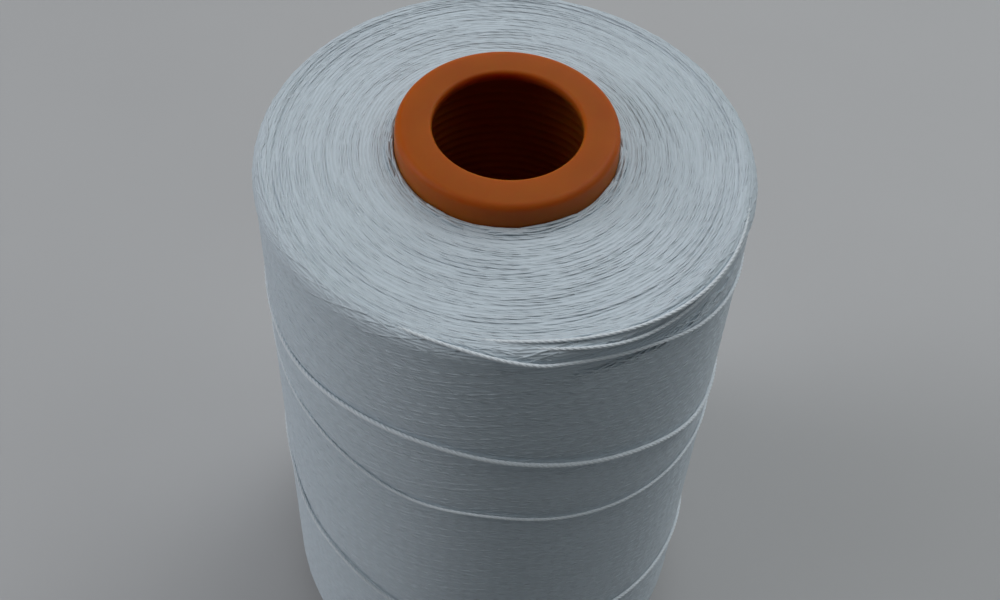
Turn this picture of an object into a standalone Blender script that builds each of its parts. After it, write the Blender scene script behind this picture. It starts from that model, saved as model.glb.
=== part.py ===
"""A cone of thread: a moulded plastic cone with a cross-wound package of sewing thread on it.

The part stands on the foot of its plastic cone. The origin is at the centre of that foot, +Z runs up
the axis to the nose, and all sizes are in metres.
"""

import math

import bmesh
import bpy

# Overall sizes
TAPER = math.tan(math.radians(4 + 20 / 60))  # the standard 4 degree 20 minute winding cone
CONE_HEIGHT = 0.137
STEPS = 72  # straight sides that stand for each full circle

# Plastic cone
NOSE_RADIUS = 0.0160
NOSE_FILLET = 0.0006
HOLE_RADIUS = 0.0108
HOLE_FILLET = 0.0005
FLANGE_THICKNESS = 0.0016
WALL = 0.0017
FOOT_BEAD_HEIGHT = 0.0030
FOOT_BEAD_DEPTH = 0.0008
FOOT_CHAMFER = 0.0004

# Ribs inside the plastic cone, which grip the spindle's spring
RIB_COUNT = 14
RIB_PITCH = 0.0018
RIB_HEIGHT = 0.0003
FIRST_RIB_BELOW_NOSE = 0.0071

# Wound thread
GAP = 0.0003
WIND_FOOT = 0.0070  # height of the lower end face over the foot
WIND_TOP = 0.1330  # height of the upper end face where it meets the cone
SHOULDER_RADIUS = 0.0022
SHOULDER_PLANE = 0.1313  # height at which the side line reaches WIND_TOP_RADIUS
WIND_TOP_RADIUS = 0.0362
END_CROWN = 0.0004  # how far each end face falls from the cone to its shoulder
SHOULDER_STEPS = 5

# Finish
ORANGE = (0.78, 0.19, 0.03, 1.0)
WHITE = (0.84, 0.88, 0.91, 1.0)


def cone_outer_radius(z):
    """Radius of the plastic cone's outer wall at height z."""
    return NOSE_RADIUS + (CONE_HEIGHT - z) * TAPER


def cone_inner_radius(z):
    """Radius of the plastic cone's inner wall, between the ribs, at height z."""
    return cone_outer_radius(z) - WALL


def wind_radius(z):
    """Radius of the wound package's side at height z."""
    return WIND_TOP_RADIUS + (SHOULDER_PLANE - z) * TAPER


def arc(centre_r, centre_z, radius, start, end, steps):
    """Points (r, z) along an arc, with angles in degrees from +r towards +z."""
    points = []
    for step in range(steps + 1):
        angle = math.radians(start + (end - start) * step / steps)
        points.append((centre_r + radius * math.cos(angle), centre_z + radius * math.sin(angle)))
    return points


def rib_profile():
    """Inner wall (r, z) with its ribs, from the lowest rib up to the highest."""
    points = []
    for rib in reversed(range(RIB_COUNT)):
        crest = CONE_HEIGHT - FIRST_RIB_BELOW_NOSE - rib * RIB_PITCH
        foot = crest - RIB_PITCH / 2
        points.append((cone_inner_radius(foot), foot))
        points.append((cone_inner_radius(crest) - RIB_HEIGHT, crest))
    top = CONE_HEIGHT - FIRST_RIB_BELOW_NOSE + RIB_PITCH / 2
    points.append((cone_inner_radius(top), top))
    return points


def plastic_cone_profile():
    """Closed outline (r, z) of the plastic cone: down the outside, then up the inside."""
    nose = arc(
        NOSE_RADIUS - NOSE_FILLET, CONE_HEIGHT - NOSE_FILLET, NOSE_FILLET, 90, 0, 3
    )
    bead_radius = cone_outer_radius(0) + FOOT_BEAD_DEPTH
    foot = [
        (cone_outer_radius(FOOT_BEAD_HEIGHT + FOOT_BEAD_DEPTH), FOOT_BEAD_HEIGHT + FOOT_BEAD_DEPTH),
        (bead_radius, FOOT_BEAD_HEIGHT),
        (bead_radius, FOOT_CHAMFER),
        (bead_radius - FOOT_CHAMFER, 0),
        (cone_inner_radius(0) + FOOT_CHAMFER, 0),
        (cone_inner_radius(FOOT_CHAMFER), FOOT_CHAMFER),
    ]
    underside = CONE_HEIGHT - FLANGE_THICKNESS
    flange = [(cone_inner_radius(underside), underside), (HOLE_RADIUS, underside)]
    hole = arc(HOLE_RADIUS + HOLE_FILLET, CONE_HEIGHT - HOLE_FILLET, HOLE_FILLET, 180, 90, 3)
    return nose + foot + rib_profile() + flange + hole


def thread_wind_profile():
    """Closed outline (r, z) of the wound package: out over the top, down the side, in underneath."""
    inner_top = cone_outer_radius(WIND_TOP) + GAP
    inner_foot = cone_outer_radius(WIND_FOOT) + GAP
    slope = math.degrees(math.atan(TAPER))
    top_z = WIND_TOP - END_CROWN - SHOULDER_RADIUS
    top_r = wind_radius(top_z) - SHOULDER_RADIUS
    foot_z = WIND_FOOT + END_CROWN + SHOULDER_RADIUS
    foot_r = wind_radius(foot_z) - SHOULDER_RADIUS
    top = arc(top_r, top_z, SHOULDER_RADIUS, 90, slope, SHOULDER_STEPS)
    foot = arc(foot_r, foot_z, SHOULDER_RADIUS, slope, -90, SHOULDER_STEPS)
    return [(inner_top, WIND_TOP)] + top + foot + [(inner_foot, WIND_FOOT)]


def make_collection(name):
    """A new collection linked to the scene."""
    collection = bpy.data.collections.new(name)
    bpy.context.scene.collection.children.link(collection)
    return collection


def make_material(name, colour, roughness):
    """A Principled material of one colour."""
    material = bpy.data.materials.new(name)
    material.use_nodes = True
    shader = material.node_tree.nodes["Principled BSDF"]
    shader.inputs["Base Color"].default_value = colour
    shader.inputs["Roughness"].default_value = roughness
    shader.inputs["Metallic"].default_value = 0.0
    material.diffuse_color = colour
    return material


def turned(name, profile, material, collection):
    """A solid turned about Z from a closed outline, which a Screw modifier sweeps round."""
    outline = bmesh.new()
    points = [outline.verts.new((r, 0, z)) for r, z in profile]
    for first, second in zip(points, points[1:] + points[:1]):
        outline.edges.new((first, second))
    mesh = bpy.data.meshes.new(name)
    outline.to_mesh(mesh)
    outline.free()
    mesh.materials.append(material)
    piece = bpy.data.objects.new(name, mesh)
    collection.objects.link(piece)
    sweep = piece.modifiers.new("turn", "SCREW")
    sweep.axis = "Z"
    sweep.angle = math.tau
    sweep.steps = STEPS
    sweep.render_steps = STEPS
    sweep.use_merge_vertices = True
    sweep.merge_threshold = 0.00001
    sweep.use_smooth_shade = True
    return piece


def clear_scene():
    """Removes every object that the scene starts with."""
    for existing in list(bpy.data.objects):
        bpy.data.objects.remove(existing, do_unlink=True)


def main():
    """Builds the two pieces of the cone of thread."""
    clear_scene()
    collection = make_collection("cone_of_thread")
    orange = make_material("orange_plastic", ORANGE, 0.38)
    white = make_material("white_thread", WHITE, 0.85)
    turned("plastic_cone", plastic_cone_profile(), orange, collection)
    turned("thread_wind", thread_wind_profile(), white, collection)


main()
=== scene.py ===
"""A cone of thread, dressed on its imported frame.

White plied sewing thread is cross-wound on a slim orange plastic cone that stands on its foot. The outer
thread is laid strand by strand: each one follows its path over the package and is pressed into an even
surface with the others, of which a trace of the crossings is left. A closed body stands for the turns
under them, and a few slack turns ride loose on top.

Lengths are in metres in the frame's axes. Azimuths are in degrees, from the front (-Y) towards +X.
"""

import logging
import math
from collections.abc import Mapping, Sequence
from dataclasses import dataclass, field
from enum import Enum
from typing import NamedTuple

import bmesh
import bpy
import numpy as np
from mathutils import Matrix, Vector


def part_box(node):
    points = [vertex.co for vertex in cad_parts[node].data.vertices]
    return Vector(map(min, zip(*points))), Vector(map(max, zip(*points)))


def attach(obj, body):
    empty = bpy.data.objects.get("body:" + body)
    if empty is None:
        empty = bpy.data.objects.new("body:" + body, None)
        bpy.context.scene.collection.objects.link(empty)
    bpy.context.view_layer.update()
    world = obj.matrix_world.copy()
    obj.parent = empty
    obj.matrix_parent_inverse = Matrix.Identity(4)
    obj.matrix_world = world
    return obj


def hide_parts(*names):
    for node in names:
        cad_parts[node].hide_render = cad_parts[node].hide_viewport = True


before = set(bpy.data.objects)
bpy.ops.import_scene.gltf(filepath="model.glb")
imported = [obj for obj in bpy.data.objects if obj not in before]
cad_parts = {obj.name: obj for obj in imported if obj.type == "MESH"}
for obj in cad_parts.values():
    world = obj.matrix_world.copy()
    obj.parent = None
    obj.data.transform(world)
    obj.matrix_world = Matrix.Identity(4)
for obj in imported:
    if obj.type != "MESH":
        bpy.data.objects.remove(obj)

LOG = logging.getLogger("cone_of_thread")
MM = 0.001
TAPER = math.tan(math.radians(4 + 20 / 60))  # the standard 4 degree 20 minute winding cone
STRAND_FLATNESS = 0.45
WINDING_SEED = 20
ROOT = "root"
CONE_NODE = "plastic_cone"
WIND_NODE = "thread_wind"

Colour = tuple[float, float, float]
Array = np.ndarray
Profile = list[tuple[float, float]]


# --- Node trees ---


class Wire:
    """An output socket of a node tree, on which Python's operators add Math nodes."""

    def __init__(self, bench: "Bench", socket: bpy.types.NodeSocket) -> None:
        """Keeps the tree's bench and the socket.

        Args:
            bench: The bench that the socket's tree is built on.
            socket: The output socket.
        """
        self.bench = bench
        self.socket = socket

    def math(self, operation: str, *others: "Wire | float") -> "Wire":
        """One Math node with this wire as its first value."""
        return self.bench.math(operation, self, *others)

    def also(self, output: str) -> "Wire":
        """Another output of the same node."""
        return Wire(self.bench, self.socket.node.outputs[output])

    def __add__(self, other: "Wire | float") -> "Wire":
        """The sum."""
        return self.math("ADD", other)

    __radd__ = __add__

    def __sub__(self, other: "Wire | float") -> "Wire":
        """The difference."""
        return self.math("SUBTRACT", other)

    def __mul__(self, other: "Wire | float") -> "Wire":
        """The product."""
        return self.math("MULTIPLY", other)

    __rmul__ = __mul__

    def __truediv__(self, other: "Wire | float") -> "Wire":
        """The quotient."""
        return self.math("DIVIDE", other)


Feed = Wire | float | int | bool | str | Sequence[float] | bpy.types.ID


class Bench:
    """A shader or geometry tree under construction."""

    def __init__(self, tree: bpy.types.NodeTree) -> None:
        """Starts on a tree.

        Args:
            tree: The tree that every node is added to.
        """
        self.tree = tree

    def add(
        self,
        kind: str,
        settings: Mapping[str, object] | None = None,
        sockets: Mapping[str | int, Feed] | None = None,
        out: str | int = 0,
    ) -> Wire:
        """Adds one node, sets it up and feeds it.

        Args:
            kind: The node's type name.
            settings: Its own settings, made before its sockets are fed.
            sockets: What each input holds or is linked to, by index, identifier or name.
            out: The output that is returned.

        Returns:
            The chosen output.
        """
        node = self.tree.nodes.new(kind)
        for name, value in (settings or {}).items():
            setattr(node, name, value)
        for key, value in (sockets or {}).items():
            self.feed(self._pick(node.inputs, key), value)
        return Wire(self, self._pick(node.outputs, out))

    def feed(self, socket: bpy.types.NodeSocket, value: Feed) -> None:
        """Links a wire to an input socket, or sets the socket to a value."""
        if isinstance(value, Wire):
            self.tree.links.new(value.socket, socket)
        else:
            socket.default_value = value

    def dress(self, shader: bpy.types.Node, values: Mapping[str, Feed]) -> None:
        """Feeds a shader's inputs by name."""
        for name, value in values.items():
            self.feed(shader.inputs[name], value)

    def math(self, operation: str, *values: Wire | float) -> Wire:
        """One Math node of the values."""
        return self.add("ShaderNodeMath", {"operation": operation}, dict(enumerate(values)))

    def vector(self, operation: str, *values: Wire | Sequence[float]) -> Wire:
        """One Vector Math node of the values."""
        return self.add("ShaderNodeVectorMath", {"operation": operation}, dict(enumerate(values)))

    def scaled(self, direction: Wire, size: Wire | float) -> Wire:
        """A vector times a number."""
        return self.add("ShaderNodeVectorMath", {"operation": "SCALE"}, {0: direction, "Scale": size})

    def joined(self, x: Wire | float, y: Wire | float, z: Wire | float) -> Wire:
        """A vector of three values."""
        return self.add("ShaderNodeCombineXYZ", sockets={0: x, 1: y, 2: z})

    def parts(self, vector: Wire) -> tuple[Wire, Wire, Wire]:
        """The three values of a vector."""
        x = self.add("ShaderNodeSeparateXYZ", sockets={0: vector}, out="X")
        return x, x.also("Y"), x.also("Z")

    def blend(self, share: Wire | float, first: "Wire | Colour", second: "Wire | Colour") -> Wire:
        """A colour that goes from the first to the second as share goes from 0 to 1."""
        first, second = (end if isinstance(end, Wire) else (*end, 1.0) for end in (first, second))
        sockets = {"Factor_Float": share, "A_Color": first, "B_Color": second}
        return self.add("ShaderNodeMix", {"data_type": "RGBA"}, sockets, "Result_Color")

    def place(self) -> Wire:
        """Where a shaded point lies in its object's own axes."""
        return self.add("ShaderNodeTexCoord", out="Object")

    def named(self, name: str, out: str = "Fac") -> Wire:
        """A value that the mesh itself carries."""
        return self.add("ShaderNodeAttribute", {"attribute_name": name}, out=out)

    def noise(self, place: Wire, scale: float, detail: float = 2.0, roughness: float = 0.5) -> Wire:
        """A soft random value from 0 to 1 over a place."""
        sockets = {"Vector": place, "Scale": scale, "Detail": detail, "Roughness": roughness}
        return self.add("ShaderNodeTexNoise", sockets=sockets)

    def bump(self, height: Wire, distance: float, below: Wire | None = None) -> Wire:
        """A surface normal that follows a height, on top of another normal."""
        sockets: dict[str | int, Feed] = {"Height": height, "Distance": distance}
        if below is not None:
            sockets["Normal"] = below
        return self.add("ShaderNodeBump", sockets=sockets)

    @staticmethod
    def _pick(sockets: bpy.types.bpy_prop_collection, key: str | int) -> bpy.types.NodeSocket:
        """The socket with an index, an identifier or, failing that, a name."""
        if isinstance(key, int):
            return sockets[key]
        found = [socket for socket in sockets if socket.identifier == key]
        return found[0] if found else sockets[key]


def new_material(name: str) -> tuple[bpy.types.Material, Bench, bpy.types.Node]:
    """A material with only a Principled shader.

    Args:
        name: The material's name.

    Returns:
        The material, the bench on its tree, and the shader node.
    """
    material = bpy.data.materials.new(name)
    material.use_nodes = True
    bench = Bench(material.node_tree)
    shader = material.node_tree.nodes["Principled BSDF"]
    return material, bench, shader


# --- Finishes ---


@dataclass(frozen=True)
class ThreadFinish:
    """Plied spun thread: twisted plies, fine fibres and a soft sheen, all following each strand. Its colour
    goes darker in the grooves between the plies and along fibre streaks: painted shade.

    It reads what the swept strands carry: how far along and where around a strand each point lies, and
    the strand's own tone.
    """

    name: str
    crest: Colour = (0.59, 0.69, 0.76)
    # painted shade: the colour in the grooves between the plies, darker than the crest
    painted_groove_shade: Colour = (0.52, 0.61, 0.67)
    roughness: float = 0.72
    roughness_swing: float = 0.22
    specular: float = 0.18
    sheen: float = 0.2
    sheen_roughness: float = 0.45
    bleached: Colour = (0.95, 0.97, 1.0)
    tone_swing: float = 0.10
    fibre_share: float = 0.45
    ply_pitch: float = 2.6 * MM
    ply_depth: float = 0.06 * MM
    fibre_depth: float = 0.025 * MM
    fibres_along: float = 900.0
    fibres_around: float = 3.2
    fibre_detail: float = 3.0
    fibre_harshness: float = 0.6

    def build(self) -> bpy.types.Material:
        """The finish as a material."""
        material, bench, shader = new_material(self.name)
        along = bench.named("along")
        tone = bench.named("tone")
        around = bench.vector("NORMALIZE", bench.named("around", "Vector"))
        across, up, _ = bench.parts(around)
        plies = self._plies(bench, along, across, up)
        fibres = self._fibres(bench, along, across, up)
        relief = bench.bump(plies, self.ply_depth)
        crest = bench.blend(tone * self.tone_swing, self.crest, self.bleached)
        # The colour goes to the painted groove shade between the plies and, through the fibre streaks, along
        # the strand.
        share = plies * ((1 - self.fibre_share) + self.fibre_share * fibres)
        values = {
            "Base Color": bench.blend(share, self.painted_groove_shade, crest),
            "Roughness": self.roughness + self.roughness_swing * (fibres - 0.5),
            "Normal": bench.bump(fibres, self.fibre_depth, relief),
            "Sheen Weight": self.sheen,
            "Sheen Roughness": self.sheen_roughness,
            "Specular IOR Level": self.specular,
        }
        bench.dress(shader, values)
        return material

    def _plies(self, bench: Bench, along: Wire, across: Wire, up: Wire) -> Wire:
        """A height from 0, between two of the three plies, to 1 on a ply's crest."""
        turn = along * (math.tau / self.ply_pitch)
        triple_cos = 4.0 * across * across * across - 3.0 * across
        triple_sin = 3.0 * up - 4.0 * up * up * up
        wave = triple_cos * turn.math("COSINE") + triple_sin * turn.math("SINE")
        return (0.5 + 0.5 * wave).math("SQRT")

    def _fibres(self, bench: Bench, along: Wire, across: Wire, up: Wire) -> Wire:
        """Fine streaks that run along the strand."""
        place = bench.joined(along * self.fibres_along, across * self.fibres_around, up * self.fibres_around)
        return bench.noise(place, 1.0, self.fibre_detail, self.fibre_harshness)


@dataclass(frozen=True)
class PackedThreadFinish:
    """The shaded inner turns that show only through the gaps of the outer ones."""

    name: str = "packed_thread"
    lit: Colour = (0.59, 0.69, 0.76)
    shaded: Colour = (0.54, 0.635, 0.70)
    roughness: float = 0.85
    turn_spacing: float = 0.6 * MM
    turn_depth: float = 0.07 * MM
    wander_scale: float = 90.0
    wander: float = 9.0

    def build(self) -> bpy.types.Material:
        """The finish as a material."""
        material, bench, shader = new_material(self.name)
        place = bench.place()
        across, back, height = bench.parts(place)
        radius = (across * across + back * back).math("SQRT")
        wander = self.wander * bench.noise(place, self.wander_scale)
        rows = 0.5 + 0.5 * ((height - radius) * (math.tau / self.turn_spacing) + wander).math("SINE")
        values = {
            "Base Color": bench.blend(rows, self.shaded, self.lit),
            "Roughness": self.roughness,
            "Normal": bench.bump(rows, self.turn_depth),
        }
        bench.dress(shader, values)
        return material


@dataclass(frozen=True)
class MouldedPlasticFinish:
    """Satin orange plastic: a little light goes through it, and its gloss is uneven from the mould."""

    name: str = "moulded_orange_plastic"
    deep: Colour = (0.315, 0.072, 0.0060)
    pale: Colour = (0.395, 0.103, 0.0090)
    roughness: float = 0.46
    roughness_swing: float = 0.16
    specular: float = 0.12
    glow: float = 0.85
    glow_reach: float = 6.0 * MM
    glow_tint: Colour = (1.0, 0.28, 0.08)
    cloud_scale: float = 140.0
    cloud_detail: float = 3.0
    ripple_scale: float = 220.0
    ripple_detail: float = 1.0
    ripple_depth: float = 0.03 * MM
    grain_scale: float = 4200.0
    grain_depth: float = 0.004 * MM

    def build(self) -> bpy.types.Material:
        """The finish as a material."""
        material, bench, shader = new_material(self.name)
        place = bench.place()
        clouds = bench.noise(place, self.cloud_scale, self.cloud_detail)
        ripple = bench.noise(place, self.ripple_scale, self.ripple_detail)
        relief = bench.bump(ripple, self.ripple_depth)
        values = {
            "Base Color": bench.blend(clouds, self.deep, self.pale),
            "Roughness": self.roughness + self.roughness_swing * (clouds - 0.5),
            "Normal": bench.bump(bench.noise(place, self.grain_scale), self.grain_depth, relief),
            "Specular IOR Level": self.specular,
            "Subsurface Weight": self.glow,
            "Subsurface Scale": self.glow_reach,
            "Subsurface Radius": self.glow_tint,
        }
        bench.dress(shader, values)
        return material


@dataclass(frozen=True)
class TableFinish:
    """A pale, even table top with faint clouding."""

    name: str = "pale_table"
    base: Colour = (0.480, 0.498, 0.510)
    clouded: Colour = (0.455, 0.472, 0.484)
    roughness: float = 0.55
    specular: float = 0.2
    cloud_scale: float = 14.0
    cloud_detail: float = 4.0

    def build(self) -> bpy.types.Material:
        """The finish as a material."""
        material, bench, shader = new_material(self.name)
        clouds = bench.noise(bench.place(), self.cloud_scale, self.cloud_detail)
        values = {
            "Base Color": bench.blend(clouds, self.clouded, self.base),
            "Roughness": self.roughness,
            "Specular IOR Level": self.specular,
        }
        bench.dress(shader, values)
        return material


# --- Geometry trees ---


class StrandTree(Enum):
    """The two ways in which a strand's path becomes thread."""

    SINGLE = "thread_sweep"
    PLIED = "plied_thread_sweep"


class StrandSweeper:
    """Builds the geometry trees that turn strand paths into thread, and runs them.

    A path mesh holds only points and edges, with each point's way out, thickness and tone.
    """

    FLAT = "Flatness"
    SIDES = "Sides"
    FINISH = "Finish"
    PLIES = "Plies"
    PITCH = "Ply pitch"
    MATERIAL = "NodeSocketMaterial"
    # Pressed together, the plies' middles lie nearer than the 0.536 of three round plies that just touch.
    PLY_REACH = 0.38
    PLY_RADIUS = 0.62

    def __init__(self) -> None:
        """Builds both trees."""
        self.trees = {StrandTree.SINGLE: self._single(), StrandTree.PLIED: self._plied()}

    def run(
        self, kind: StrandTree, name: str, strands: Sequence["Laid"], values: Mapping[str, object]
    ) -> bpy.types.Object:
        """Runs a tree once on strands and keeps what it makes as a plain mesh, tied to the frame.

        Args:
            kind: Which tree to run.
            name: The finished piece's name.
            strands: The strands as they lie.
            values: The tree's inputs by name.

        Returns:
            The piece, at the origin, with no modifier left on it.
        """
        path = path_mesh(name, strands)
        piece = linked(name, path)
        modifier = piece.modifiers.new("build", "NODES")
        modifier.node_group = self.trees[kind]
        for item in self.trees[kind].interface.items_tree:
            if item.in_out == "INPUT" and item.name in values:
                modifier[item.identifier] = values[item.name]
        graph = bpy.context.evaluated_depsgraph_get()
        made = bpy.data.meshes.new_from_object(
            piece.evaluated_get(graph), preserve_all_data_layers=True, depsgraph=graph
        )
        piece.modifiers.remove(modifier)
        piece.data = made
        made.name = name
        bpy.data.meshes.remove(path)
        return seated(piece, WIND_NODE)

    def single(
        self, name: str, strands: Sequence["Laid"], flatness: float, sides: int, finish: bpy.types.Material
    ) -> bpy.types.Object:
        """The dressed piece of strands swept as flattened rounds."""
        values = {self.FLAT: flatness, self.SIDES: sides, self.FINISH: finish}
        return self.run(StrandTree.SINGLE, name, strands, values)

    def _start(self, kind: StrandTree, extra: Mapping[str, str]) -> tuple[Bench, dict[str, Wire]]:
        """A new tree with its inputs, and a wire for each of them."""
        inputs = {self.FLAT: "NodeSocketFloat", self.SIDES: "NodeSocketInt", self.FINISH: self.MATERIAL}
        return new_geometry_tree(kind.value, {**inputs, **extra})

    def _path(self, bench: Bench, wires: Mapping[str, Wire]) -> Wire:
        """The path as curves whose normals point out of the package."""
        curve = bench.add("GeometryNodeMeshToCurve", sockets={"Mesh": wires["Geometry"]})
        sockets = {"Curve": curve, "Normal": self._carried(bench, "outward", "FLOAT_VECTOR")}
        return bench.add("GeometryNodeSetCurveNormal", {"mode": "FREE"}, sockets)

    def _carried(self, bench: Bench, name: str, kind: str) -> Wire:
        """A value that each path point carries."""
        return bench.add("GeometryNodeInputNamedAttribute", {"data_type": kind}, {"Name": name}, "Attribute")

    def _stored(self, bench: Bench, shape: Wire, name: str, kind: str, value: Wire) -> Wire:
        """The shape, with a value kept on each of its points."""
        sockets = {"Geometry": shape, "Name": name, "Value": value}
        settings = {"data_type": kind, "domain": "POINT"}
        return bench.add("GeometryNodeStoreNamedAttribute", settings, sockets)

    def _section(self, bench: Bench, wires: Mapping[str, Wire]) -> Wire:
        """The flattened round section, which carries its own direction from the strand's middle."""
        sockets = {"Resolution": wires[self.SIDES], "Radius": 1.0}
        circle = bench.add("GeometryNodeCurvePrimitiveCircle", {"mode": "RADIUS"}, sockets)
        place = bench.add("GeometryNodeInputPosition")
        marked = self._stored(bench, circle, "around", "FLOAT_VECTOR", place)
        squeeze = bench.joined(wires[self.FLAT], 1.0, 1.0)
        return bench.add("GeometryNodeTransform", sockets={"Geometry": marked, "Scale": squeeze})

    def _measured(self, bench: Bench, curve: Wire) -> Wire:
        """The curve, carrying how far along it each point lies."""
        length = bench.add("GeometryNodeSplineParameter", out="Length")
        return self._stored(bench, curve, "along", "FLOAT", length)

    def _finished(self, bench: Bench, mesh: Wire, wires: Mapping[str, Wire]) -> None:
        """Shades the mesh smooth, realizes it, gives it its finish and ends the tree."""
        smooth = bench.add("GeometryNodeSetShadeSmooth", sockets={"Geometry": mesh, "Shade Smooth": True})
        real = bench.add("GeometryNodeRealizeInstances", sockets={"Geometry": smooth})
        sockets = {"Geometry": real, "Material": wires[self.FINISH]}
        dressed = bench.add("GeometryNodeSetMaterial", sockets=sockets)
        output = bench.tree.nodes.new("NodeGroupOutput")
        bench.feed(output.inputs[0], dressed)

    def _swept(
        self, bench: Bench, curve: Wire, wires: Mapping[str, Wire], share: float
    ) -> bpy.types.NodeTree:
        """The finished tree, with the section swept along the curve at a share of the strand's radius."""
        sockets = {
            "Curve": curve,
            "Profile Curve": self._section(bench, wires),
            "Scale": self._carried(bench, "thickness", "FLOAT") * share,
            "Fill Caps": True,
        }
        self._finished(bench, bench.add("GeometryNodeCurveToMesh", sockets=sockets), wires)
        return bench.tree

    def _single(self) -> bpy.types.NodeTree:
        """The tree for a strand swept as one flattened round."""
        bench, wires = self._start(StrandTree.SINGLE, {})
        return self._swept(bench, self._measured(bench, self._path(bench, wires)), wires, 1.0)

    def _plied(self) -> bpy.types.NodeTree:
        """The tree for a strand whose plies are each swept, twisted round one another."""
        extra = {self.PLIES: "NodeSocketInt", self.PITCH: "NodeSocketFloat"}
        bench, wires = self._start(StrandTree.PLIED, extra)
        curve = self._measured(bench, self._path(bench, wires))
        sockets = {"Geometry": curve, "Amount": wires[self.PLIES]}
        copies = bench.add("GeometryNodeDuplicateElements", {"domain": "SPLINE"}, sockets)
        number = copies.also("Duplicate Index")
        length = bench.add("GeometryNodeSplineParameter", out="Length")
        angle = math.tau * (length / wires[self.PITCH] + number / wires[self.PLIES])
        normal = bench.add("GeometryNodeInputNormal")
        tangent = bench.add("GeometryNodeInputTangent")
        beside = bench.vector("CROSS_PRODUCT", tangent, normal)
        reach = self._carried(bench, "thickness", "FLOAT") * self.PLY_REACH
        shift = bench.vector(
            "ADD",
            bench.scaled(normal, angle.math("COSINE") * reach),
            bench.scaled(beside, angle.math("SINE") * reach),
        )
        plies = bench.add("GeometryNodeSetPosition", sockets={"Geometry": copies, "Offset": shift})
        return self._swept(bench, plies, wires, self.PLY_RADIUS)


def new_geometry_tree(name: str, inputs: Mapping[str, str]) -> tuple[Bench, dict[str, Wire]]:
    """A geometry tree with a mesh in, a mesh out and its named inputs.

    Args:
        name: The tree's name.
        inputs: Each input's socket type by its name.

    Returns:
        The bench on the tree, and a wire for each input by name.
    """
    tree = bpy.data.node_groups.new(name, "GeometryNodeTree")
    tree.interface.new_socket("Geometry", in_out="INPUT", socket_type="NodeSocketGeometry")
    for label, kind in inputs.items():
        tree.interface.new_socket(label, in_out="INPUT", socket_type=kind)
    tree.interface.new_socket("Geometry", in_out="OUTPUT", socket_type="NodeSocketGeometry")
    bench = Bench(tree)
    entry = tree.nodes.new("NodeGroupInput")
    wires = {socket.name: Wire(bench, socket) for socket in entry.outputs if socket.name}
    return bench, wires


# --- The package's surface ---


class Outline:
    """A turned outline, walked from the core over the top face, down the side and in underneath."""

    def __init__(self, points: Sequence[tuple[float, float]]) -> None:
        """Measures the outline.

        Args:
            points: The (radius, height) points in walking order.
        """
        self.points = np.array(points)
        steps = np.diff(self.points, axis=0)
        lengths = np.hypot(*steps.T)
        self.walk = np.concatenate([[0.0], np.cumsum(lengths)])
        slopes = np.gradient(self.points, self.walk, axis=0)
        slopes /= np.hypot(*slopes.T)[:, None]
        self.normals = np.stack([-slopes[:, 1], slopes[:, 0]], axis=1)

    @property
    def length(self) -> float:
        """The whole walk."""
        return float(self.walk[-1])

    def place(self, walk: Array, height: Array | float) -> tuple[Array, Array]:
        """Radii and heights of points that far along the outline and that far out from it."""
        radius = np.interp(walk, self.walk, self.points[:, 0])
        level = np.interp(walk, self.walk, self.points[:, 1])
        out = np.interp(walk, self.walk, self.normals[:, 0])
        up = np.interp(walk, self.walk, self.normals[:, 1])
        return radius + out * height, level + up * height

    def offset(self, height: Array | float) -> Profile:
        """The outline's points, moved out by a height, which may differ from point to point."""
        return [tuple(point) for point in self.points + np.reshape(height, (-1, 1)) * self.normals]


@dataclass(frozen=True)
class PackageShape:
    """The wound package's form, from the frame's wound solid and cone."""

    top: float
    foot: float
    widest: float
    cone_top: float
    nose_radius: float = 16.0 * MM
    gap: float = 0.05 * MM
    shoulder: float = 2.2 * MM
    crown: float = 0.4 * MM
    shoulder_steps: int = 12
    straight_steps: int = 16

    @classmethod
    def from_frame(cls) -> "PackageShape":
        """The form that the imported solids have."""
        low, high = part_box(WIND_NODE)
        return cls(top=high.z, foot=low.z, widest=high.x, cone_top=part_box(CONE_NODE)[1].z)

    def core_radius(self, level: float) -> float:
        """The plastic cone's outer radius at a level."""
        return self.nose_radius + (self.cone_top - level) * TAPER

    def side_radius(self, level: float) -> float:
        """The package side's radius at a level."""
        return self.widest - (level - self.foot_bend) * TAPER

    @property
    def top_bend(self) -> float:
        """Level of the middle of the upper shoulder's arc."""
        return self.top - self.crown - self.shoulder

    @property
    def foot_bend(self) -> float:
        """Level of the middle of the lower shoulder's arc."""
        return self.foot + self.crown + self.shoulder

    def outline(self) -> Outline:
        """The outline of the whole package."""
        slope = math.atan(TAPER)
        start = (self.core_radius(self.top) + self.gap, self.top)
        end = (self.core_radius(self.foot) + self.gap, self.foot)
        upper = self._arc(self.top_bend, math.pi / 2, slope)
        lower = self._arc(self.foot_bend, slope, -math.pi / 2)
        runs = [self._straight(start, upper[0]), upper, self._straight(upper[-1], lower[0]), lower]
        runs.append(self._straight(lower[-1], end))
        return Outline([start] + [point for run in runs for point in run] + [end])

    def _arc(self, level: float, first: float, last: float) -> Profile:
        """The shoulder's arc about a level, between two angles."""
        middle = self.side_radius(level) - self.shoulder
        angles = np.linspace(first, last, self.shoulder_steps + 1)
        return [(middle + self.shoulder * math.cos(a), level + self.shoulder * math.sin(a)) for a in angles]

    def _straight(self, first: Sequence[float], last: Sequence[float]) -> Profile:
        """Points between two corners, closer together near them, without the corners."""
        shares = 0.5 - 0.5 * np.cos(np.linspace(0, math.pi, self.straight_steps + 1)[1:-1])
        return [tuple(np.array(first) * (1 - share) + np.array(last) * share) for share in shares]


class Laid(NamedTuple):
    """One strand as it lies: its points, the way out of the package at each, its radius and its tone."""

    points: Array
    outward: Array
    radius: float
    tone: float

    def thinned(self, every: int) -> "Laid":
        """The same strand with every few points, and always the last."""
        kept = list(range(0, len(self.points) - 1, every)) + [len(self.points) - 1]
        return self._replace(points=self.points[kept], outward=self.outward[kept])


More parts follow.
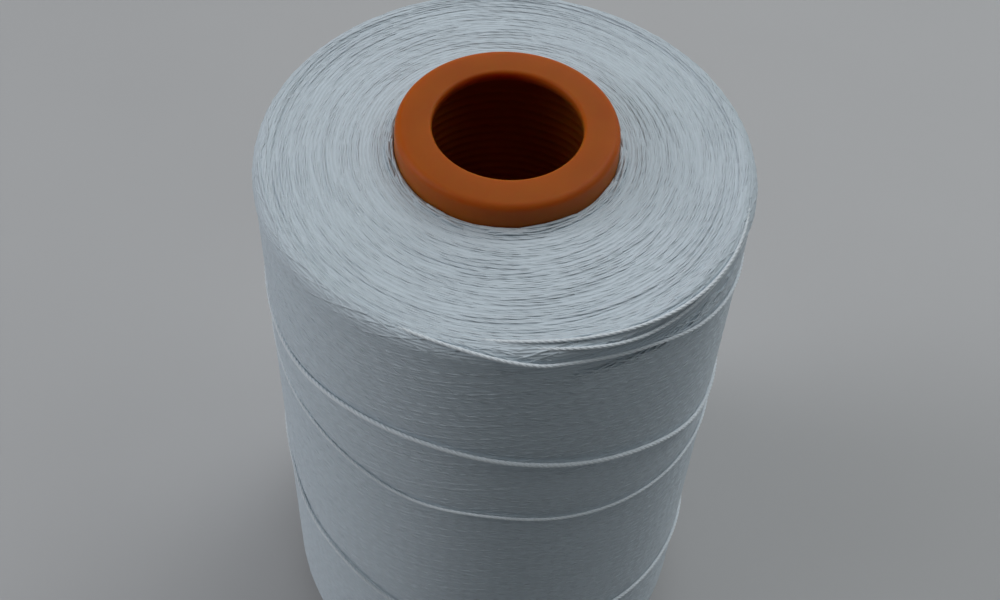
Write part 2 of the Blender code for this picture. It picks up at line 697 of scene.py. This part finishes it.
class WoundSurface:
    """The package as it grows: how high the thread already lies at each azimuth and place on the outline."""

    COLUMNS = 720
    CELL = 0.1 * MM
    SEAT = 0.70 * MM
    EVEN = 0.55 * MM
    COLLAR = 0.35 * MM
    COLLAR_REACH = 1.6 * MM
    SHOULDER_DEPTH = 1.0 * MM
    SHOULDER_HALF = 1.8 * MM
    SHOULDER_RISE = 0.35 * MM
    DENT = 1.5 * MM
    DENT_BELOW = 2.5 * MM
    DENT_REACH = 2.5 * MM
    DENT_AZIMUTH = 40.0
    DENT_HALF_WIDTH = 34.0

    def __init__(self, outline: Outline, flatness: float) -> None:
        """Starts bare, a little under the finished outline.

        Args:
            outline: The package's finished outline.
            flatness: How thick a laid strand is for its width.
        """
        self.finished = outline
        self.outline = Outline(outline.offset(-self.SEAT))
        self.flatness = flatness
        self.shoulder = self.walk_to_level(outline.points[:, 1].max() - self.SHOULDER_DEPTH)
        self.heights = np.zeros((self.COLUMNS, int(self.outline.length / self.CELL) + 1))

    def even_height(self, columns: Array, walk: Array) -> Array:
        """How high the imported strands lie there.

        They lie evenly, but a little up against the cone at each end and lower where the upper shoulder
        has slipped in.

        Args:
            columns: The columns.
            walk: Where along the outline.

        Returns:
            The height at each of those places.
        """
        off_dent = (self.azimuths(columns) - self.DENT_AZIMUTH + 180) % 360 - 180
        off_shoulder = walk - self.shoulder
        dented = np.clip(1 - (off_dent / self.DENT_HALF_WIDTH) ** 2, 0, 1)
        dented = dented * np.clip(1 - ((off_shoulder - self.DENT_BELOW) / self.DENT_REACH) ** 2, 0, 1)
        raised = np.clip(1 - (off_shoulder / self.SHOULDER_HALF) ** 2, 0, 1)
        to_core = np.minimum(walk, self.outline.length - walk)
        collar = self.COLLAR * np.exp(-to_core / self.COLLAR_REACH)
        return self.EVEN + collar + self.SHOULDER_RISE * raised - self.DENT * dented

    def walk_to_level(self, level: float) -> float:
        """How far along the outline its walk from the top comes down to a level of the finished package."""
        lowest = int(np.argmin(self.finished.points[:, 1]))
        levels = self.finished.points[: lowest + 1, 1]
        return float(np.interp(-level, -levels, self.outline.walk[: lowest + 1]))

    def column(self, azimuth: float) -> int:
        """The whole column nearest to an azimuth."""
        return round(azimuth / 360 * self.COLUMNS)

    def azimuths(self, columns: Array) -> Array:
        """The azimuths of columns."""
        return columns * (360 / self.COLUMNS)

    def lay(
        self,
        first: int,
        walk: Array,
        radius: float,
        lift: Array | float = 0.0,
        bedding: float = 0.0,
        tension: int = 9,
        round_strand: bool = False,
        tone: float = 0.5,
    ) -> Laid:
        """Lays one strand over what is there.

        Args:
            first: The column that it starts in; it takes the following ones in turn.
            walk: Where along the outline it lies in each column.
            radius: Its radius.
            lift: How far it stands off what it lies on, or below it where negative.
            bedding: From 0, where it rides over each strand that it crosses, to 1, where it is pressed
                into the even surface that they make together.
            tension: Over how many columns it spans a hollow.
            round_strand: Whether it keeps its round section.
            tone: Its own shade, from 0 to 1.

        Returns:
            The strand as it lies, with a point for each column.
        """
        columns = first + np.arange(len(walk))
        rows = columns[:, None] % self.COLUMNS
        reach = int(radius / self.CELL)
        offsets = np.arange(-reach, reach + 1)
        flatness = 1.0 if round_strand else self.flatness
        cap = flatness * np.sqrt(radius**2 - (offsets * self.CELL) ** 2)
        cells = np.rint(walk / self.CELL).astype(int)[:, None] + offsets
        cells = np.clip(cells, 0, self.heights.shape[1] - 1)
        under = self.heights[rows, cells]
        riding = self._taut((under + cap).max(axis=1), tension)
        middle = riding + bedding * (self.even_height(columns, walk) - riding) + lift
        np.maximum.at(self.heights, (rows, cells), middle[:, None] + cap)
        here = self.outline.place(walk, middle)
        above = self.outline.place(walk, middle + MM)
        turn = np.radians(self.azimuths(columns))
        points, higher = (
            np.stack([out * np.sin(turn), -out * np.cos(turn), level], axis=1)
            for out, level in (here, above)
        )
        return Laid(points, (higher - points) / MM, radius, tone)

    @staticmethod
    def _taut(height: Array, tension: int) -> Array:
        """Heights as a pulled strand takes them: it spans the hollows and rounds off the humps."""
        window = 2 * (tension // 2) + 1
        padded = np.pad(height, window - 1, mode="edge")
        raised = np.lib.stride_tricks.sliding_window_view(padded, window).max(axis=1)
        spanned = np.lib.stride_tricks.sliding_window_view(raised, window).min(axis=1)
        padded = np.pad(spanned, window // 2, mode="edge")
        return np.convolve(padded, np.full(window, 1 / window), mode="valid")


def path_mesh(name: str, strands: Sequence[Laid]) -> bpy.types.Mesh:
    """The strands' points joined by edges, each with its way out of the package, thickness and tone.

    Args:
        name: The mesh's name.
        strands: The strands as they lie.

    Returns:
        A mesh without faces.
    """
    counts = [len(strand.points) for strand in strands]
    points = np.concatenate([strand.points for strand in strands])
    starts = np.concatenate([[0], np.cumsum(counts)[:-1]])
    edges = np.concatenate([start + np.arange(count - 1) for start, count in zip(starts, counts)])
    mesh = bpy.data.meshes.new(name)
    mesh.vertices.add(len(points))
    mesh.vertices.foreach_set("co", points.astype(np.float32).ravel())
    mesh.edges.add(len(edges))
    mesh.edges.foreach_set("vertices", np.stack([edges, edges + 1], axis=1).astype(np.int32).ravel())
    values = {
        "thickness": np.repeat([strand.radius for strand in strands], counts),
        "tone": np.repeat([strand.tone for strand in strands], counts),
    }
    for label, numbers in values.items():
        mesh.attributes.new(label, "FLOAT", "POINT").data.foreach_set("value", numbers.astype(np.float32))
    outward = np.concatenate([strand.outward for strand in strands]).astype(np.float32)
    mesh.attributes.new("outward", "FLOAT_VECTOR", "POINT").data.foreach_set("vector", outward.ravel())
    return mesh


def smoothed(values: Array, window: int) -> Array:
    """Values with their corners rounded over a window, ends kept."""
    window = 2 * (window // 2) + 1
    for _ in range(2):
        padded = np.pad(values, window // 2, mode="reflect", reflect_type="odd")
        values = np.convolve(padded, np.full(window, 1 / window), mode="valid")
    return values


# --- Sub-assemblies ---


def turned_mesh(name: str, radii: Array, levels: Array, steps: int) -> bpy.types.Mesh:
    """A closed profile turned about Z.

    Args:
        name: The mesh's name.
        radii: Each profile point's radius: one for the whole turn, or one for each step of it.
        levels: Each profile point's height, likewise.
        steps: Straight sides round the circle.

    Returns:
        A closed, smooth-shaded mesh with its faces outwards.
    """
    shape = bmesh.new()
    turn = np.arange(steps) * (math.tau / steps)
    places = np.stack(np.broadcast_arrays(radii * np.sin(turn), -radii * np.cos(turn), levels), axis=-1)
    rings = [[shape.verts.new(place) for place in ring] for ring in places]
    for ring, following in zip(rings, rings[1:] + rings[:1]):
        for step in range(steps):
            after = (step + 1) % steps
            shape.faces.new((ring[step], following[step], following[after], ring[after]))
    bmesh.ops.recalc_face_normals(shape, faces=shape.faces)
    mesh = bpy.data.meshes.new(name)
    shape.to_mesh(mesh)
    shape.free()
    mesh.shade_smooth()
    return mesh


def linked(name: str, mesh: bpy.types.Mesh) -> bpy.types.Object:
    """A new object of the mesh in the scene."""
    piece = bpy.data.objects.new(name, mesh)
    bpy.context.scene.collection.objects.link(piece)
    return piece


def seated(piece: bpy.types.Object, node: str) -> bpy.types.Object:
    """Ties a finished piece to the frame.

    Args:
        piece: The piece.
        node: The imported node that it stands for.

    Returns:
        The same piece.
    """
    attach(piece, ROOT)
    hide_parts(node)
    faces = piece.data.polygons
    triangles = sum(len(face.vertices) - 2 for face in faces)
    LOG.info("%s: %d triangles, for %s", piece.name, triangles, node)
    return piece


@dataclass
class PlasticCone:
    """The moulded cone: a flanged nose with its hole, grip ribs inside, a plain wall and a beaded foot."""

    shape: PackageShape
    finish: MouldedPlasticFinish = field(default_factory=MouldedPlasticFinish)
    steps: int = 192
    wall: float = 1.7 * MM
    flange: float = 1.6 * MM
    hole_radius: float = 10.8 * MM
    nose_fillet: float = 1.1 * MM
    hole_fillet: float = 0.5 * MM
    under_fillet: float = 0.5 * MM
    bead_height: float = 3.0 * MM
    bead_depth: float = 0.8 * MM
    bead_flare: tuple[tuple[float, float], ...] = (
        (1.2 * MM, 0.0),
        (0.7 * MM, 0.1 * MM),
        (0.3 * MM, 0.5 * MM),
    )
    foot_round: float = 0.4 * MM
    rib_count: int = 14
    rib_pitch: float = 1.8 * MM
    rib_height: float = 0.3 * MM
    first_rib: float = 7.1 * MM
    rib_points: int = 6
    rib_sharpness: float = 1.6
    arc_steps: int = 6

    def build(self) -> bpy.types.Object:
        """The dressed cone."""
        name = "plastic_cone_moulding"
        profile = np.array(self._profile())
        piece = linked(name, turned_mesh(name, profile[:, :1], profile[:, 1:], self.steps))
        piece.data.materials.append(self.finish.build())
        return seated(piece, CONE_NODE)

    def _inner(self, level: float) -> float:
        """The inner wall's radius at a level."""
        return self.shape.core_radius(level) - self.wall

    def _arc(self, radius: float, level: float, size: float, first: float, last: float) -> Profile:
        """An arc about (radius, level), angles in degrees from outwards to upwards."""
        angles = np.radians(np.linspace(first, last, self.arc_steps + 1))
        return [(radius + size * math.cos(a), level + size * math.sin(a)) for a in angles]

    def _profile(self) -> Profile:
        """The closed outline: over the nose, down the outside, round the foot, up the inside."""
        nose = self.shape.nose_radius
        top = self.shape.cone_top
        hole_middle = self.hole_radius + self.hole_fillet
        hole = self._arc(hole_middle, top - self.hole_fillet, self.hole_fillet, 180, 90)
        rim = self._arc(nose - self.nose_fillet, top - self.nose_fillet, self.nose_fillet, 90, 0)
        under = top - self.flange
        corner_middle = self._inner(under) - self.under_fillet
        corner = self._arc(corner_middle, under - self.under_fillet, self.under_fillet, 0, 90)
        return hole + rim + self._foot() + self._ribs() + corner + [(self.hole_radius, under)]

    def _foot(self) -> Profile:
        """The outside of the foot bead, its rounded edge and the flat that it stands on."""
        wide = self.shape.core_radius(0) + self.bead_depth
        levels = [(self.bead_height + lift, out) for lift, out in self.bead_flare]
        swell = [(self.shape.core_radius(level) + out, level) for level, out in levels]
        edge = self._arc(wide - self.foot_round, self.foot_round, self.foot_round, 0, -90)
        inner = self._arc(self._inner(0) + self.foot_round, self.foot_round, self.foot_round, -90, -180)
        return swell + [(wide, self.bead_height)] + edge + inner

    def _ribs(self) -> Profile:
        """The inner wall's rounded grip ribs, from the lowest up."""
        top = self.shape.cone_top - self.first_rib
        count = self.rib_count * self.rib_points
        points = []
        for step in range(count, -1, -1):
            turn = step / self.rib_points
            level = top + self.rib_pitch / 2 - turn * self.rib_pitch
            swell = max(0.0, 0.5 - 0.5 * math.cos(math.tau * turn)) ** self.rib_sharpness
            points.append((self._inner(level) - self.rib_height * swell, level))
        return points


@dataclass
class PackedBody:
    """The closed body of inner turns that the laid strands lie on."""

    surface: WoundSurface
    finish: PackedThreadFinish = field(default_factory=PackedThreadFinish)
    steps: int = 180
    cover: float = 0.07 * MM

    def build(self) -> bpy.types.Object:
        """The dressed body, which buries the lower strands of the laid layer."""
        name = "packed_thread_body"
        outline = self.surface.outline
        columns = np.arange(self.steps) * (self.surface.COLUMNS / self.steps)
        walk = outline.walk[:, None]
        height = self.surface.even_height(columns, walk) + self.cover
        piece = linked(name, turned_mesh(name, *outline.place(walk, height), self.steps))
        piece.data.materials.append(self.finish.build())
        return seated(piece, WIND_NODE)


class EndFace(Enum):
    """Where on the package turn-rounds lie."""

    TOP = "top_end_turns"
    COLLAR = "collar_turns"
    RIM = "rim_turns"
    FOOT = "foot_end_turns"


@dataclass
class EndTurns:
    """The turn-rounds of every layer, which make up an end face: arcs that dive under their neighbours."""

    surface: WoundSurface
    sweeper: StrandSweeper
    finish: bpy.types.Material
    face: EndFace
    rng: np.random.Generator
    from_core: tuple[float, float]
    radius: float = 0.24 * MM
    ring_spacing: float = 0.34 * MM
    crowding: float = 2.4
    half_length: tuple[float, float] = (6.0 * MM, 13.0 * MM)
    dive: float = 0.7 * MM
    bedding: float = 0.96
    rise: float = 0.0
    unevenness: float = 0.03 * MM
    steepest: float = 0.03
    shuffle: float = 1.0 * MM
    step_length: float = 1.6 * MM
    stagger: float = 0.4
    bow: tuple[float, float] = (0.05 * MM, 0.15 * MM)
    nearest_core: float = 0.5
    core_play: float = 0.3 * MM
    size_range: tuple[float, float] = (0.88, 1.08)
    sides: int = 5

    def build(self) -> bpy.types.Object:
        """The dressed arcs of this face."""
        outline = self.surface.outline
        rows = []
        for ring in np.arange(*self.from_core, self.ring_spacing):
            radius = outline.place(np.array([self._walk(ring)]), 0.0)[0][0]
            count = int(math.tau * radius / sum(self.half_length) * self.crowding)
            turn = self.rng.uniform(0, 360)
            for number in range(count):
                azimuth = turn + (number + self.rng.uniform(-self.stagger, self.stagger)) * 360 / count
                rows.append((ring + self.rng.normal(0, self.shuffle), ring, radius, azimuth))
        rows.sort()
        strands = [self._arc(ring, radius, azimuth) for _, ring, radius, azimuth in rows]
        return self.sweeper.single(self.face.value, strands, self.surface.flatness, self.sides, self.finish)

    def _walk(self, from_core: Array | float) -> Array | float:
        """How far along the outline a distance from the core lies."""
        return self.surface.outline.length - from_core if self.face is EndFace.FOOT else from_core

    def _arc(self, ring: float, radius: float, azimuth: float) -> Laid:
        """Lays one turn-round."""
        half = self.rng.uniform(*self.half_length)
        reach = max(3, int(half / radius * self.surface.COLUMNS / math.tau))
        share = np.linspace(-1, 1, 2 * reach + 1)
        slope = self.rng.normal(0, self.steepest) * half
        bow = self.rng.normal(*self.bow)
        across = ring + slope * share + bow * share**2
        across = np.maximum(across, self.radius * self.nearest_core + self.rng.uniform(0, self.core_play))
        size = self.radius * self.rng.uniform(*self.size_range)
        walk = self._walk(across)
        first = self.surface.column(azimuth) - reach
        lift = self.rise + self.rng.normal(0, self.unevenness) - self.dive * share**4
        tone = self.rng.uniform()
        every = max(1, int(self.step_length / radius * self.surface.COLUMNS / math.tau))
        return self.surface.lay(first, walk, size, lift, self.bedding, tone=tone).thinned(every)


@dataclass
class CrossWinding:
    """The outermost thread: one long run up and down the side that turns round at the shoulders."""

    surface: WoundSurface
    sweeper: StrandSweeper
    finish: bpy.types.Material
    rng: np.random.Generator
    shape: PackageShape
    radius: float = 0.24 * MM
    turns_per_traverse: float = 2.8
    traverses: int = 100
    precession: int = 61
    bedding: float = 0.96
    newest_rise: float = 0.12 * MM
    corner: float = 12.0
    turn_round_from_core: tuple[float, float] = (17.9 * MM, 18.7 * MM)
    start_jitter: float = 0.0012
    size_range: tuple[float, float] = (0.94, 1.05)
    wander: float = 0.12 * MM
    wander_turns: tuple[float, float] = (0.4, 1.1)
    columns_per_point: int = 8
    sides: int = 4
    lots: int = 3

    def build(self) -> list[bpy.types.Object]:
        """The dressed winding, older turns first, each lot a piece of its own."""
        strands = self._strands()
        pieces = []
        for lot in range(self.lots):
            part = strands[lot * len(strands) // self.lots : (lot + 1) * len(strands) // self.lots]
            name = f"side_winding_{lot + 1}"
            flatness = self.surface.flatness
            pieces.append(self.sweeper.single(name, part, flatness, self.sides, self.finish))
        return pieces

    def _strands(self) -> list[Laid]:
        """Every traverse as it lies, in winding order."""
        columns = self.surface.COLUMNS
        start = 0.0
        double = math.floor(2 * self.turns_per_traverse) + self.precession / self.traverses
        strands = []
        low = self._foot_turn()
        for number in range(self.traverses):
            lift = self.newest_rise * (number / self.traverses - 0.5)
            high = self._top_turn()
            next_low = self._foot_turn()
            jitter = self.rng.normal(0, self.start_jitter)
            for ends in ((low, high), (high, next_low)):
                first = round((start + jitter) * columns)
                count = round(double / 2 * columns)
                walk = self._leg(count, *ends)
                size = self.radius * self.rng.uniform(*self.size_range)
                laid = self.surface.lay(first, walk, size, lift, self.bedding, tone=self.rng.uniform())
                strands.append(laid.thinned(self.columns_per_point))
                start += double / 2
            low = next_low
        return strands

    def _top_turn(self) -> float:
        """Where on the outline the thread turns round at the top."""
        return self.rng.uniform(*self.turn_round_from_core)

    def _foot_turn(self) -> float:
        """Where on the outline the thread turns round at the foot."""
        wider = self.shape.side_radius(self.shape.foot_bend) - self.shape.core_radius(self.shape.foot)
        narrower = self.shape.side_radius(self.shape.top_bend) - self.shape.core_radius(self.shape.top)
        return self.surface.outline.length - self.rng.uniform(*self.turn_round_from_core) - (wider - narrower)

    def _leg(self, count: int, first: float, last: float) -> Array:
        """Places on the outline for one traverse, which eases out of one turn-round and into the next."""
        degrees = np.arange(count) * (360 / self.surface.COLUMNS)
        span = degrees[-1]
        ease_in = np.hypot(degrees, self.corner) - self.corner
        ease_out = np.hypot(span - degrees, self.corner) - self.corner
        share = (ease_in - ease_out) / (ease_in[-1] - ease_out[-1]) / 2 + 0.5
        sway = np.sin(np.radians(degrees * self.rng.uniform(*self.wander_turns) + self.rng.uniform(0, 360)))
        fade = np.sin(np.pi * np.linspace(0, 1, count))
        return first + (last - first) * share + self.wander * sway * fade


@dataclass(frozen=True)
class SlackStrand:
    """A strand that came loose from the winding and lies over it.

    Each stop of its route gives the azimuth in degrees, the depth under the shoulder in mm and the lift
    off the side in mm.
    """

    radius: float
    route: tuple[tuple[float, float, float], ...]


SHOULDER_TURN = SlackStrand(
    0.27 * MM,
    (
        (-26, -1.3, -0.9), (-9, -0.9, 0.1), (9, 0.2, 0.2), (27, 2.3, 0.3), (45, 4.4, 0.3),
        (62, 8.4, 0.0), (84, 11.2, -0.4), (120, 14.5, -0.1), (180, 20.5, 0.0), (250, 28.0, -0.45),
        (296, 33.4, -0.4), (311, 34.3, -0.1), (326, 35.8, 0.0), (343, 39.0, 0.1), (360, 38.2, 0.3),
        (374, 41.0, 0.3), (400, 44.8, 0.2), (424, 48.2, 0.0), (446, 51.2, -0.3), (480, 55.0, -0.1),
        (540, 62.0, -0.9),
    ),
)
UPPER_TURN = SlackStrand(
    0.36 * MM,
    (
        (-250, 1.5, -1.1), (-180, 9.5, 0.0), (-110, 17.5, -0.45), (-66, 22.5, -0.4),
        (-50, 22.3, -0.1), (-35, 20.4, 0.1), (-14, 20.0, 0.3), (10, 23.4, 0.4), (36, 28.6, 0.3),
        (60, 37.5, 0.0), (84, 41.0, -0.4), (130, 46.0, -0.1), (200, 55.0, 0.0), (250, 62.0, -0.45),
        (294, 68.0, -0.4), (303, 75.0, 0.0), (320, 76.0, 0.2), (338, 81.5, 0.3), (400, 89.0, 0.2),
        (423, 93.2, 0.0), (445, 97.0, -0.3), (520, 108.0, -0.1), (600, 117.0, -1.1),
    ),
)
RIM_TURN_INNER = SlackStrand(
    0.26 * MM,
    (
        (-12, -1.9, -1.0), (6, -1.6, -0.1), (20, -1.2, 0.0), (40, -0.6, 0.0), (58, -0.4, -0.15),
        (74, -0.8, -0.5), (92, -1.6, -1.1),
    ),
)
RIM_TURN_OUTER = SlackStrand(
    0.26 * MM,
    (
        (0, -1.4, -1.0), (20, -0.5, 0.0), (38, 0.5, 0.0), (55, 1.0, -0.1), (70, 1.1, -0.3),
        (84, 0.7, -0.7), (105, -0.6, -1.1),
    ),
)


@dataclass
class SlackTurns:
    """The loose turns over the winding, with their plies modelled."""

    surface: WoundSurface
    sweeper: StrandSweeper
    finish: bpy.types.Material
    shape: PackageShape
    strands: tuple[SlackStrand, ...] = (SHOULDER_TURN, UPPER_TURN, RIM_TURN_INNER, RIM_TURN_OUTER)
    shoulder_plane: float = 1.7 * MM
    rounding: float = 14.0
    tension: int = 25
    plies: int = 3
    ply_pitch: float = 2.7 * MM
    sides: int = 6

    def build(self) -> bpy.types.Object:
        """The dressed loose turns."""
        strands = [self._lay(strand) for strand in self.strands]
        values = {
            StrandSweeper.FLAT: 1.0,
            StrandSweeper.SIDES: self.sides,
            StrandSweeper.FINISH: self.finish,
            StrandSweeper.PLIES: self.plies,
            StrandSweeper.PITCH: self.ply_pitch,
        }
        return self.sweeper.run(StrandTree.PLIED, "slack_turns", strands, values)

    def _lay(self, strand: SlackStrand) -> Laid:
        """Lays one loose turn along its route."""
        azimuths, depths, lifts = np.array(strand.route).T
        first = self.surface.column(azimuths[0])
        last = self.surface.column(azimuths[-1])
        here = self.surface.azimuths(np.arange(first, last + 1))
        window = self.surface.column(self.rounding)
        depth = smoothed(np.interp(here, azimuths, depths), window)
        lift = smoothed(np.interp(here, azimuths, lifts), window)
        walk = self.surface.walk_to_level(self.shape.top - self.shoulder_plane) + depth * MM
        lift = lift * MM
        return self.surface.lay(first, walk, strand.radius, lift, tension=self.tension, round_strand=True)


# --- The studio ---


@dataclass(frozen=True)
class SoftLight:
    """A round area light, placed by azimuth and elevation in degrees, that looks at a point on the part."""

    name: str
    azimuth: float
    elevation: float
    size: float
    power: float
    colour: Colour = (1.0, 1.0, 1.0)
    target: tuple[float, float, float] = (0.0, 0.0, 0.08)
    distance: float = 1.4

    def build(self) -> bpy.types.Object:
        """The light in the scene."""
        lamp = bpy.data.lights.new(self.name, "AREA")
        lamp.shape = "DISK"
        lamp.size = self.size
        lamp.energy = self.power
        lamp.color = self.colour
        light = bpy.data.objects.new(self.name, lamp)
        bpy.context.scene.collection.objects.link(light)
        turn = math.radians(self.azimuth)
        rise = math.radians(self.elevation)
        away = Vector((math.sin(turn) * math.cos(rise), -math.cos(turn) * math.cos(rise), math.sin(rise)))
        light.location = Vector(self.target) + self.distance * away
        light.rotation_euler = away.to_track_quat("Z", "Y").to_euler()
        return light


@dataclass
class Studio:
    """The pale table and the soft light over it."""

    table_side: float = 6.0
    ambient: float = 0.02
    ambient_colour: Colour = (1.0, 1.0, 1.0)
    table: TableFinish = field(default_factory=TableFinish)
    lights: tuple[SoftLight, ...] = (
        SoftLight("window", 135, 50, 0.8, 5.0),
        SoftLight("low_left", -90, 22, 0.6, 5.7, (1.0, 0.955, 0.985)),
        SoftLight("low_right", 90, 22, 0.6, 0.7),
        SoftLight("overhead", 0, 90, 1.0, 2.15),
        SoftLight("high_left", -90, 50, 0.8, 2.0),
        SoftLight("high_right", 90, 50, 0.8, 1.9),
        SoftLight("high_back", 180, 50, 0.8, 1.3),
        SoftLight("low_back_right", 135, 22, 0.6, 1.2),
        SoftLight("low_back", 180, 22, 0.6, 0.9),
        SoftLight("front_left", -72, 40, 0.8, 1.0),
    )

    def build(self) -> None:
        """Builds the table, the lights and the world."""
        half = self.table_side / 2
        shape = bmesh.new()
        bmesh.ops.create_grid(shape, x_segments=1, y_segments=1, size=half)
        mesh = bpy.data.meshes.new("table_top")
        shape.to_mesh(mesh)
        shape.free()
        table = linked("table_top", mesh)
        mesh.materials.append(self.table.build())
        for light in self.lights:
            light.build()
        world = bpy.data.worlds.new("studio")
        world.use_nodes = True
        background = world.node_tree.nodes["Background"]
        background.inputs["Color"].default_value = (*self.ambient_colour, 1.0)
        background.inputs["Strength"].default_value = self.ambient
        bpy.context.scene.world = world
        bpy.context.scene.view_settings.view_transform = "Standard"


@dataclass(frozen=True)
class ViewCamera:
    """A camera close over the front of the package that looks down on its nose."""

    place: tuple[float, float, float] = (0.0, -98.6 * MM, 229.3 * MM)
    tilt_down: float = 53.77
    pan: float = 0.20
    roll: float = 3.41
    lens: float = 33.98
    sensor: float = 36.0
    nearest: float = 0.005

    def build(self) -> bpy.types.Object:
        """The camera, made the scene's own."""
        down = math.radians(self.tilt_down)
        pan = math.radians(self.pan)
        roll = math.radians(self.roll)
        ahead = Vector((math.sin(pan) * math.cos(down), math.cos(pan) * math.cos(down), -math.sin(down)))
        level = Vector((math.cos(pan), -math.sin(pan), 0.0))
        above = level.cross(ahead)
        right = level * math.cos(roll) + above * math.sin(roll)
        top = above * math.cos(roll) - level * math.sin(roll)
        lens = bpy.data.cameras.new("camera")
        lens.lens = self.lens
        lens.sensor_width = self.sensor
        lens.clip_start = self.nearest
        camera = bpy.data.objects.new("camera", lens)
        bpy.context.scene.collection.objects.link(camera)
        turn = Matrix((right, top, -ahead)).transposed().to_4x4()
        camera.matrix_world = Matrix.Translation(self.place) @ turn
        bpy.context.scene.camera = camera
        return camera


# --- Making ---


def main() -> None:
    """Builds the camera, the studio and every piece around the frame."""
    logging.basicConfig(level=logging.INFO, format="%(name)s: %(message)s")
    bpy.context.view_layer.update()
    ViewCamera().build()
    Studio().build()
    shape = PackageShape.from_frame()
    PlasticCone(shape).build()
    surface = WoundSurface(shape.outline(), STRAND_FLATNESS)
    sweeper = StrandSweeper()
    wound = ThreadFinish("wound_thread").build()
    # The loose strands are the same thread with a lighter crest and groove: painted light, for the light that
    # they catch standing proud of the winding.
    plied = ThreadFinish(
        "loose_plied_thread_painted_lighter",
        crest=(0.74, 0.82, 0.87),
        painted_groove_shade=(0.68, 0.76, 0.81),
        ply_depth=0.0,
        fibre_depth=0.02 * MM,
    ).build()
    rng = np.random.default_rng(WINDING_SEED)
    shared = {"surface": surface, "sweeper": sweeper, "finish": wound, "rng": rng}
    PackedBody(surface).build()
    EndTurns(face=EndFace.TOP, from_core=(0.3 * MM, 18.2 * MM), crowding=2.9, **shared).build()
    EndTurns(
        face=EndFace.COLLAR,
        from_core=(0.1 * MM, 1.0 * MM),
        ring_spacing=0.28 * MM,
        half_length=(2.5 * MM, 5.5 * MM),
        rise=0.10 * MM,
        unevenness=0.12 * MM,
        **shared,
    ).build()
    EndTurns(
        face=EndFace.FOOT,
        from_core=(0.3 * MM, 27.0 * MM),
        ring_spacing=0.5 * MM,
        crowding=1.6,
        step_length=2.6 * MM,
        **shared,
    ).build()
    CrossWinding(shape=shape, **shared).build()
    EndTurns(
        face=EndFace.RIM,
        from_core=(14.8 * MM, 18.4 * MM),
        radius=0.27 * MM,
        ring_spacing=0.5 * MM,
        crowding=1.6,
        half_length=(9.0 * MM, 20.0 * MM),
        steepest=0.02,
        shuffle=0.2 * MM,
        rise=0.03 * MM,
        **shared,
    ).build()
    SlackTurns(surface, sweeper, plied, shape).build()


if __name__ == "__main__":
    main()
